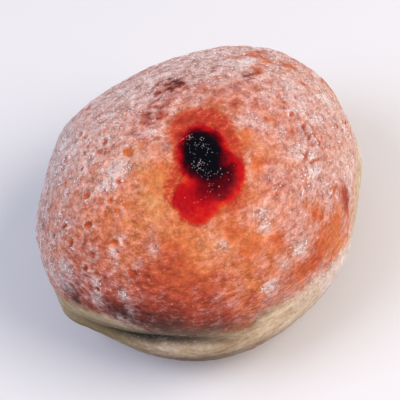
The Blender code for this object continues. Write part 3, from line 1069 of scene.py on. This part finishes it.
def sugar_crystal():
    """Sugar crystal: clear, but white to the eye from its many faces, with a soft glint."""
    material, tree, shader = new_material("sugar crystal")
    place = add(tree, "ShaderNodeTexCoord").outputs["Object"]
    tint = add(tree, "ShaderNodeTexNoise", {"Vector": place, "Scale": 1 / TINT_SIZE}).outputs["Fac"]
    hue = paint_stops(add(tree, "ShaderNodeValToRGB", {"Fac": tint}), ((0.3, "#eedfdf"), (0.7, "#faf5f8")))
    tree.links.new(hue, shader.inputs["Base Color"])
    shader.inputs["Roughness"].default_value = 0.4
    shader.inputs["IOR"].default_value = 1.54
    shader.inputs["Specular IOR Level"].default_value = 0.4
    return material


def sugar_tree(name, cover, sides, seed, material):
    """Scatters grains over a surface, as densely as an attribute says, and drops the surface."""
    tree, size = new_shape_tree(name, CRYSTALS)
    lying = add(tree, "GeometryNodeInputNamedAttribute", {"Name": cover}, data_type="FLOAT").outputs[0]
    share = {"Value": lying, "From Min": size["Least cover"], "From Max": 1.0}
    share = add(tree, "ShaderNodeMapRange", share)
    often = add(tree, "ShaderNodeMath", {0: 1.0, 1: size["Clump size"]}, operation="DIVIDE").outputs[0]
    clumps = add(tree, "ShaderNodeTexNoise", {"Scale": often, "Detail": 2.0}).outputs[0]
    edge, full = CLUMP_EDGES
    clumped = {"Value": clumps, "From Min": edge, "From Max": full, "To Min": BETWEEN_CLUMPS}
    clumped = add(tree, "ShaderNodeMapRange", clumped, interpolation_type="SMOOTHSTEP")
    density = {0: share.outputs[0], 1: clumped.outputs[0]}
    density = add(tree, "ShaderNodeMath", density, operation="MULTIPLY")
    density = {0: density.outputs[0], 1: size["Grains in a square metre"]}
    density = add(tree, "ShaderNodeMath", density, operation="MULTIPLY").outputs[0]
    sown = {"Mesh": size["Geometry"], "Density": density, "Seed": seed}
    sown = add(tree, "GeometryNodeDistributePointsOnFaces", sown, distribute_method="RANDOM").outputs
    depth = add(tree, "ShaderNodeMath", {0: size["Grain size"], 1: size["Sunk share"]}, operation="MULTIPLY")
    depth = add(tree, "ShaderNodeMath", {0: depth.outputs[0], 1: -1.0}, operation="MULTIPLY")
    inward = {0: sown["Normal"], "Scale": depth.outputs[0]}
    inward = add(tree, "ShaderNodeVectorMath", inward, operation="SCALE")
    sunk = add(tree, "GeometryNodeSetPosition", {"Geometry": sown["Points"], "Offset": inward.outputs[0]})
    if sides == 6:
        grain = add(tree, "GeometryNodeMeshCube", {"Size": (1, 1, 1)}).outputs["Mesh"]
    else:
        cone = {"Vertices": 3, "Radius Top": 0.0, "Radius Bottom": 0.7, "Depth": 1.0}
        grain = add(tree, "GeometryNodeMeshCone", cone, fill_type="NGON").outputs["Mesh"]
    tipped = {0: TIPS[0], 1: TIPS[1], "Seed": seed + 1}
    tipped = add(tree, "FunctionNodeRandomValue", tipped, data_type="FLOAT_VECTOR").outputs[0]
    turned = {"Rotation": sown["Rotation"], "Rotate By": tipped}
    turned = add(tree, "FunctionNodeRotateRotation", turned, rotation_space="LOCAL").outputs[0]
    drawn = {0: STRETCHES[0], 1: STRETCHES[1], "Seed": seed + 2}
    drawn = add(tree, "FunctionNodeRandomValue", drawn, data_type="FLOAT_VECTOR").outputs[0]
    scaled = add(tree, "ShaderNodeVectorMath", {0: drawn, "Scale": size["Grain size"]}, operation="SCALE")
    strewn = {"Points": sunk.outputs[0], "Instance": grain, "Rotation": turned, "Scale": scaled.outputs[0]}
    strewn = add(tree, "GeometryNodeInstanceOnPoints", strewn)
    real = add(tree, "GeometryNodeRealizeInstances", {0: strewn.outputs[0]})
    finished = add(tree, "GeometryNodeSetMaterial", {"Geometry": real.outputs[0], "Material": material})
    add(tree, "NodeGroupOutput", {0: finished.outputs[0]})
    return tree


crystal = sugar_crystal()
for name, surface, slot, cover, sides, seed, sizes in (
    ("sugar_crystals", dough, "dough", "sugar", 6, 11, CRYSTALS),
    ("sugar_dust", dough, "dough", "sugar", 4, 31, DUST),
    ("sugar_on_jam", filling, "jam", "specks", 6, 51, ON_JAM),
):
    grains = bpy.data.objects.new(name, surface.data.copy())
    bpy.context.scene.collection.objects.link(grains)
    run_tree(grains, sugar_tree(name, cover, sides, seed, crystal), sizes)
    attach(grains, "root")

# The studio
# A plain white floor, a warm soft light from the front right, a dimmer and cooler one from the left, and a
# pale room all round. The camera looks down at 52 degrees from 42 cm away, tipped so that the doughnut's
# right side is up.

FLOOR_SIZE = 6.0
CAMERA_DISTANCE = 0.42
CAMERA_ELEVATION = 52
CAMERA_ROLL = 17
PIXELS_PER_METRE = 3737  # in the photo, at the middle of the doughnut
PHOTO_PIXELS = 400
SHIFT_PIXELS = -1.3
SENSOR_WIDTH = 36  # in millimetres
LOOK_AT = Vector(WAIST_MIDDLE)
ROOM_STRENGTH = 0.34

bpy.ops.mesh.primitive_plane_add(size=FLOOR_SIZE)
floor = bpy.context.object
floor.name = "floor"
paper, tree, shader = new_material("white paper sweep")
shader.inputs["Base Color"].default_value = colour("#eef1f6")
shader.inputs["Roughness"].default_value = 0.9
floor.data.materials.append(paper)

camera = bpy.data.objects.new("camera", bpy.data.cameras.new("camera"))
bpy.context.scene.collection.objects.link(camera)
down = math.radians(CAMERA_ELEVATION)
back = Vector((0, -math.cos(down), math.sin(down)))
upright = Matrix.Rotation(math.radians(90 - CAMERA_ELEVATION), 4, "X")
rolled = Matrix.Rotation(math.radians(-CAMERA_ROLL), 4, "Z")
camera.matrix_world = Matrix.Translation(LOOK_AT + back * CAMERA_DISTANCE) @ upright @ rolled
camera.data.sensor_width = SENSOR_WIDTH
camera.data.lens = SENSOR_WIDTH * PIXELS_PER_METRE * CAMERA_DISTANCE / PHOTO_PIXELS
camera.data.shift_x = SHIFT_PIXELS / PHOTO_PIXELS
camera.data.clip_start = 0.01
camera.data.clip_end = 20
bpy.context.scene.camera = camera

# Name, direction, distance and size in metres, power in watts, colour
LIGHTS = (
    ("key", (332, 41), 1.1, 0.7, 10.6, "#fff0e0"),
    ("fill", (184, 52), 1.3, 0.8, 7.4, "#eaecff"),
)
for name, direction, distance, size, watts, code in LIGHTS:
    light = bpy.data.lights.new(name, "AREA")
    light.size = size
    light.energy = watts
    light.color = colour(code)[:3]
    lamp = bpy.data.objects.new(name, light)
    bpy.context.scene.collection.objects.link(lamp)
    away = Vector(aim(direction))
    lamp.location = LOOK_AT + away * distance
    lamp.rotation_euler = away.to_track_quat("Z", "Y").to_euler()

world = bpy.data.worlds.new("pale room")
world.use_nodes = True
room = world.node_tree.nodes["Background"]
room.inputs["Color"].default_value = colour("#f6f6ff")
room.inputs["Strength"].default_value = ROOM_STRENGTH
bpy.context.scene.world = world
bpy.context.scene.view_settings.view_transform = "Standard"
